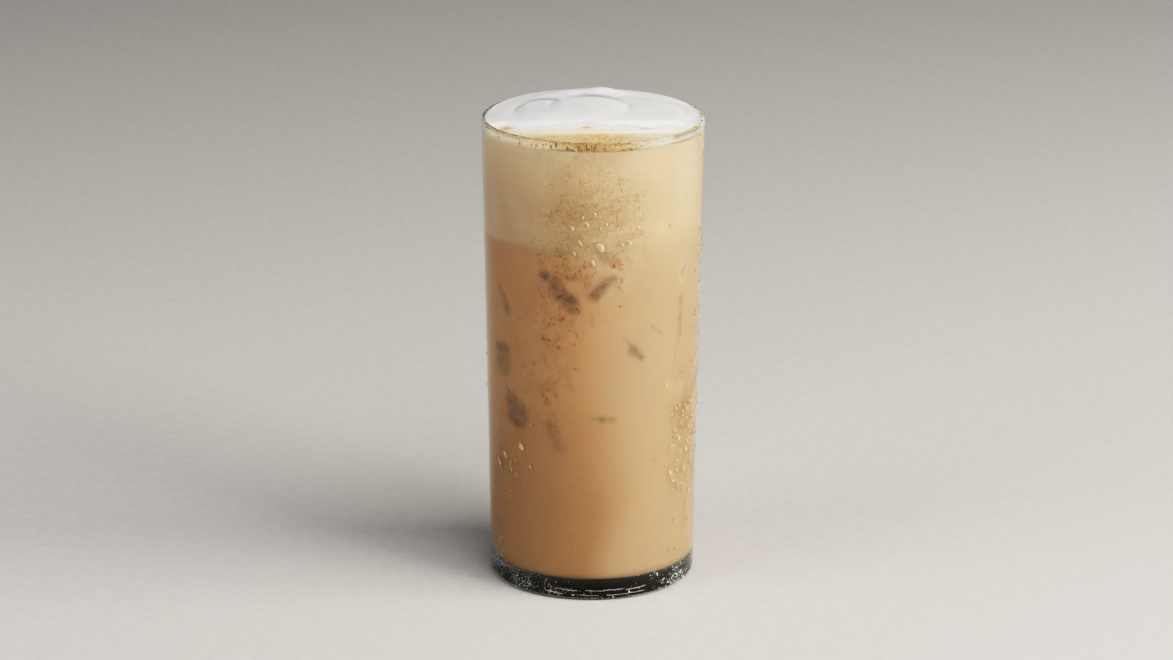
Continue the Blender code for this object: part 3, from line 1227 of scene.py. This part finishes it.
@dataclass
class Dew:
    """Condensation on the outside of the glass: fine mist, cloudy specks on the foot, beads and large drops."""

    glass: CoolerGlass
    random: np.random.Generator
    mist_spacing: float = 0.66 * MM
    bead_spacing: float = 1.7 * MM
    foot_spacing: float = 0.46 * MM
    # How far a place strays from its cell's middle, in cells, and the dry rim in mm round a large drop
    stray: float = 0.42
    clear_round: float = 0.5

    def foot_inset(self, z: Array) -> Array:
        """How far the foot's rounded edge lies inside the wall's line at a height."""
        size = self.glass.foot_round
        below = np.clip(size - z, 0, size)
        return size - np.sqrt(size**2 - below**2)

    def spread(self, spacing: float, patches: Sequence[DewPatch], least: float = 0.0) -> tuple[Array, Array]:
        """Finds places where the patches have dew, at most one for each cell of an even grid on the wall.

        Args:
            spacing: the grid's cell in metres.
            patches: where the dew gathers.
            least: the amount of dew that is too thin to settle.

        Returns:
            The places' azimuths in degrees and heights in metres.
        """
        low, high = 0.7 * MM, self.glass.height - 2 * self.glass.bead_half_height - spacing
        columns = round(math.tau * self.glass.outer(high / 2) / spacing)
        rows = round((high - low) / spacing)
        column, row = (side.ravel() for side in np.meshgrid(np.arange(columns), np.arange(rows)))
        stray = self.stray * np.array([-1, 1])
        azimuth = (column + 0.5 * (row % 2) + self.random.uniform(*stray, column.size)) * 360 / columns
        z = low + (row + 0.5 + self.random.uniform(*stray, row.size)) * spacing
        amount = np.sum([patch.amount(azimuth, z) for patch in patches], axis=0)
        a = np.radians(azimuth)
        ring = np.stack([np.sin(a), -np.cos(a), z / self.glass.foot_radius], axis=1) * self.glass.foot_radius
        broken = 0.75 + 0.9 * ripple(ring, 5 * MM, 11.0)
        kept = self.random.random(column.size) < (amount - least) * broken
        for drop_azimuth, drop_z, width, height in LARGE_DROPS:
            across = np.radians(turned(azimuth, drop_azimuth)) * self.glass.outer(drop_z * MM) / MM
            half, tall = width / 2 + self.clear_round, height / 2 + self.clear_round
            kept &= np.hypot(across / half, (z / MM - drop_z) / tall) > 1
        return azimuth[kept], z[kept]

    def drawn_out(self) -> tuple[Array, Array, Array]:
        """Overlapping drops along the foot's lines: azimuths in degrees, heights and half heights in metres."""
        azimuths, heights, halves = [], [], []
        for first, last, z_first, z_last, height in FOOT_LINES:
            share = np.linspace(0, 1, round((last - first) / 1.1))
            azimuths.append(first + (last - first) * share)
            heights.append(z_first + (z_last - z_first) * share + self.random.normal(0, 0.04, share.size))
            halves.append(height / 2 * self.random.uniform(0.5, 1.2, share.size))
        return np.concatenate(azimuths), np.concatenate(heights) * MM, np.concatenate(halves) * MM

    def place(self, name: str, dome: Dome, water: Mist, azimuth: Array, z: Array, *sizes: Array | float) -> Mesh:
        """Stands drops on the glass as one piece.

        Args:
            name: the piece's name.
            dome: the shape of a drop.
            water: its finish.
            azimuth: the drops' azimuths in degrees.
            z: their heights in metres.
            sizes: half their widths and heights, their depths and perhaps their tilt, as stand takes them.

        Returns:
            The piece, dressed.
        """
        piece = scatter(name, dome, *stand(azimuth, self.glass.outer(z) - self.foot_inset(z), z, *sizes))
        piece.data.materials.append(water.build())
        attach(piece, ROOT)
        return piece

    def mist(self) -> Mesh:
        """The fine mist, flatter and browner where it lies over the coffee."""
        azimuth, z = self.spread(self.mist_spacing, MIST_PATCHES, 0.09)
        half = varied(self.random, 0.19, 0.3, (0.1, 0.4), z.size)
        tall, tilt = half * self.random.uniform(1.0, 2.4, z.size), self.random.normal(28, 16, z.size)
        depth = half * (0.15 + 0.13 * smooth_step((z - 108 * MM) / (14 * MM)))
        mist = self.place("dew_mist", Dome(5, 2, contact=36), Mist(), azimuth, z, half, tall, depth, tilt)
        write_mask(mist, "low", smooth_step((122 * MM - corners(mist)[:, 2]) / (12 * MM)))
        return mist

    def foot(self) -> Mesh:
        """Cloudy specks on the foot, with drops that run together along its lines."""
        azimuth, z = self.spread(self.foot_spacing, FOOT_PATCHES)
        half = varied(self.random, 0.13, 0.55, (0.07, 0.6), z.size)
        line_azimuth, line_z, line_tall = self.drawn_out()
        tall = np.append(half * self.random.uniform(0.6, 1.1, z.size), line_tall)
        azimuth, z = np.append(azimuth, line_azimuth), np.append(z, line_z)
        half = np.append(half, np.full(line_z.size, 0.5 * MM))
        water = Mist("cloudy_dew", 0.25, 0.75, "D9DFE1", "B4BBBE")
        return self.place("dew_foot", Dome(6, 2), water, azimuth, z, half, tall, np.minimum(half, tall) * 0.5)

    def beads(self) -> Mesh:
        """Beads of water at the sides and the back."""
        azimuth, z = self.spread(self.bead_spacing, BEAD_PATCHES)
        half = varied(self.random, 0.42, 0.28, (0.25, 0.75), z.size)
        tall = half * self.random.uniform(1.0, 2.2, z.size)
        water = Mist("dew_beads_water", 0.62, 0.84, "F0E0C2", "E6D2AC", rough=0.26)
        return self.place("dew_beads", Dome(9, 3, contact=50), water, azimuth, z, half, tall, half * 0.46)

    def drops(self) -> Mesh:
        """The large drops, each leaning a little as it runs."""
        azimuth, z, width, height = np.array(LARGE_DROPS).T
        water = Mist("dew_drops_water", 0.57, 0.68, "F7E1C4", "EACCA4", rough=0.12)
        sizes = width * MM / 2, height * MM / 2, width * 0.2 * MM
        return self.place("dew_drops", Dome(20, 7, contact=50), water, azimuth, z * MM, *sizes, 32.0)

    def build(self) -> list[Mesh]:
        """The mist, the foot's specks, the beads and the large drops."""
        return [self.mist(), self.foot(), self.beads(), self.drops()]


def on_top(half: Array, share: float) -> Array:
    """The frames of upright bubbles of given half widths, as high as a share of these."""
    return np.eye(3)[None] * np.stack([half, half, half * share], axis=1)[:, :, None]


# Bubbles as scatter takes them, their frames and origins, and how brown each is
Bubbles = tuple[Array, Array, Array]


@dataclass
class Crema:
    """Bubbles of crema: strewn on the bare froth, in a line where it meets the glass, and stuck to the glass."""

    drink: Drink
    foam: FoamCap
    random: np.random.Generator
    spacing: float = 0.62 * MM
    line_count: int = 150
    stuck_count: int = 34
    residue_count: int = 150

    def strewn(self) -> Bubbles:
        """Bubbles on the froth in front of the foam, browner towards the glass."""
        wall = self.drink.glass.inner(self.drink.froth_at_wall) - 0.15 * MM
        count = round(wall / self.spacing)
        column, row = (side.ravel() for side in np.meshgrid(np.arange(-count, count), np.arange(-count, 0)))
        x = (column + self.random.uniform(-0.45, 0.45, column.size)) * self.spacing
        y = (row + self.random.uniform(-0.45, 0.45, row.size)) * self.spacing
        reach = np.hypot(x, y)
        edge = self.foam.edge(np.arctan2(y, x))
        near_wall = smooth_step((reach - 10 * MM) / (14 * MM))
        amount = 0.8 * near_wall * crema_at(x, y, wall)
        kept = (reach < wall) & (reach > edge) & (self.random.random(x.size) < amount)
        x, y = x[kept], y[kept]
        half = varied(self.random, 0.24, 0.35, (0.12, 0.36), x.size)
        origins = np.stack([x, y, self.drink.froth_top(x, y)], axis=1)
        browner = 0.5 * smooth_step((reach[kept] - wall + 6 * MM) / (6 * MM))
        return on_top(half, 0.7), origins, browner + 0.5 * self.random.beta(0.6, 1.2, x.size)

    def line(self) -> Bubbles:
        """Pale bubbles in a broken line where the froth meets the glass at the front."""
        z = self.drink.froth_at_wall
        a = np.radians(self.random.normal(4.0, 10.0, self.line_count))
        half = varied(self.random, 0.22, 0.3, (0.1, 0.4), a.size)
        radius = self.drink.glass.inner(z) - half * self.random.uniform(0.1, 0.9, a.size)
        origins = np.stack([np.sin(a) * radius, -np.cos(a) * radius, np.full(a.size, z)], axis=1)
        return on_top(half, 0.9), origins, self.random.uniform(0.0, 0.25, a.size)

    def clinging(self, azimuth: Array, z: Array, half: Array, tall: Array, depth: Array) -> tuple[Array, Array]:
        """The frames and origins of domes on the inside of the glass, sized as stand takes them."""
        return stand(azimuth, self.drink.glass.inner(z), z, half, tall, depth, facing=-1)

    def stuck(self) -> Bubbles:
        """Brown flecks that cling to the inside of the glass above the froth."""
        count = self.stuck_count
        near = self.random.random(count) < 0.6
        azimuth = np.where(near, self.random.normal(3, 10, count), self.random.normal(-30, 10, count))
        z = self.random.uniform(153.3, 154.6, count) * MM
        half = self.random.uniform(0.12, 0.26, count) * MM
        tall = half * self.random.uniform(1.6, 3.4, count)
        return *self.clinging(azimuth, z, half, tall, half * 0.8), self.random.uniform(0.8, 1.0, count)

    def residue(self) -> Bubbles:
        """A broken film of golden crema left on the inside of the glass at the front."""
        count = self.residue_count
        azimuth = self.random.normal(5, 9, count)
        z = self.random.uniform(153.1, 154.6, count) * MM
        half = self.random.uniform(0.3, 0.8, count) * MM
        tall = np.minimum(half, 0.45 * MM) * self.random.uniform(0.6, 1.1, count)
        depth = np.full(count, 0.06 * MM)
        return *self.clinging(azimuth, z, half, tall, depth), self.random.beta(1.0, 2.0, count)

    def join(self, name: str, skin: BubbleSkin, *groups: Bubbles) -> Mesh:
        """Joins groups of bubbles into one piece.

        Args:
            name: the piece's name.
            skin: its finish.
            groups: the groups of bubbles.

        Returns:
            The joined piece.
        """
        frames, origins, tone = (np.concatenate(group) for group in zip(*groups))
        bubbles = scatter(name, Dome(8, 3), frames, origins)
        write_mask(bubbles, "tone", np.repeat(tone, len(bubbles.data.vertices) // len(tone)))
        bubbles.data.materials.append(skin.build())
        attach(bubbles, ROOT)
        return bubbles

    def build(self) -> list[Mesh]:
        """The bubbles, and the film of crema on the glass."""
        return [
            self.join("crema_bubbles", BubbleSkin(), self.strewn(), self.line(), self.stuck()),
            self.join("crema_film", BubbleSkin("crema_film", "FFE2B0", "DE9850"), self.residue()),
        ]


# The studio


@dataclass(frozen=True)
class Softbox:
    """A soft rectangular lamp that faces the glass. Sizes in metres, power in watts."""

    name: str
    azimuth: float
    elevation: float
    distance: float
    width: float
    height: float
    power: float
    colour: str = "FFFFFF"

    def build(self, target: Vector) -> None:
        """Adds the lamp, turned towards its target."""
        lamp = bpy.data.lights.new(self.name, "AREA")
        lamp.shape = "RECTANGLE"
        lamp.size, lamp.size_y = self.width, self.height
        lamp.energy = self.power
        lamp.color = linear(self.colour)[:3]
        turned, raised = math.radians(self.azimuth), math.radians(self.elevation)
        away = Vector((math.sin(turned) * math.cos(raised), -math.cos(turned) * math.cos(raised), math.sin(raised)))
        holder = bpy.data.objects.new(self.name, lamp)
        holder.location = target + away * self.distance
        holder.rotation_euler = away.to_track_quat("Z", "Y").to_euler()
        bpy.context.scene.collection.objects.link(holder)


@dataclass
class Studio:
    """A plain pale floor, soft lamps and the camera at the photograph's viewing angle."""

    lens: float = 115.9
    sensor: float = 36.0
    camera_place: tuple[float, float, float] = (-2.0 * MM, -1193.6 * MM, 453.0 * MM)
    pitch_down: float = 17.225
    roll: float = 0.135
    floor_size: float = 8.0
    world_light: str = "B8BCC2"
    world_strength: float = 0.2
    contrast: float = 2.0
    half_tone: float = 0.42
    brightest: float = 6.0
    curve_lights: tuple[float, ...] = (0.05, 0.1, 0.17, 0.25, 0.35, 0.5, 0.7, 1.0, 1.4, 2.0, 3.2)
    lamps: tuple[Softbox, ...] = (
        Softbox("key_softbox", 68, 18, 1.5, 1.2, 1.3, 34.0, "FFF7EC"),
        Softbox("top_softbox", 30, 50, 1.6, 1.0, 1.0, 10.5),
        Softbox("fill_softbox", -60, 20, 1.6, 1.0, 1.0, 8.8),
    )

    def build(self) -> None:
        """Adds the floor, the lamps, the world's light and the camera."""
        scene = bpy.context.scene
        bpy.ops.object.select_all(action="DESELECT")
        bpy.ops.mesh.primitive_plane_add(size=self.floor_size, location=(0, 0, 0))
        floor = bpy.context.object
        floor.name = "studio_floor"
        floor.data.materials.append(StudioFloor().build())
        target = Vector((0, 0, CAD_BOX[1][2] / 2))
        for lamp in self.lamps:
            lamp.build(target)
        world = bpy.data.worlds.new("studio_air")
        world.use_nodes = True
        glow = {"Color": self.world_light, "Strength": self.world_strength}
        feed(world.node_tree, world.node_tree.nodes["Background"], glow)
        scene.world = world
        lens = bpy.data.cameras.new("studio_camera")
        lens.lens = self.lens
        lens.sensor_width = self.sensor
        lens.clip_end = 20
        camera = bpy.data.objects.new("studio_camera", lens)
        aim = Euler((math.radians(90 - self.pitch_down), 0, 0)).to_matrix()
        tilt = Matrix.Rotation(math.radians(self.roll), 3, "Z")
        camera.matrix_world = Matrix.Translation(self.camera_place) @ (aim @ tilt).to_4x4()
        scene.collection.objects.link(camera)
        scene.camera = camera
        self.develop(scene)

    def develop(self, scene: bpy.types.Scene) -> None:
        """Gives the picture a camera's tone curve, with firm shadows and a soft shoulder.

        Args:
            scene: the scene whose view is set.
        """
        view = scene.view_settings
        view.view_transform = "Standard"
        view.use_curve_mapping = True
        tones = view.curve_mapping
        tones.use_clip = False
        curve = tones.curves[3]
        curve.points[-1].location = (self.brightest, self.tone(self.brightest))
        for light in self.curve_lights:
            curve.points.new(light, self.tone(light))
        tones.update()

    def tone(self, light: float) -> float:
        """How bright the picture shows a scene light, both linear."""
        return light**self.contrast / (light**self.contrast + self.half_tone**self.contrast)


def report(piece: Mesh) -> None:
    """Logs a piece's name and how many faces it has."""
    log.info("%s: %d faces", piece.name, len(piece.data.polygons))


def main() -> None:
    """Builds the glass, the drink, the foam, the bubbles, the dew and the studio."""
    logging.basicConfig(level=logging.INFO, format="%(message)s")
    random = np.random.default_rng(SEED)
    glass = CoolerGlass()
    report(glass.build())
    marks = [WallMark(mark, *row) for mark, rows in FRONT_MARKS.items() for row in rows]
    drink = Drink(glass, marks=marks + marks_round_the_back(random, 16))
    foam = FoamCap(drink)
    report(drink.build_coffee())
    report(drink.build_froth(foam.edge))
    report(foam.build())
    for piece in Crema(drink, foam, random).build() + Dew(glass, random).build():
        report(piece)
    Studio().build()


if __name__ == "__main__":
    main()
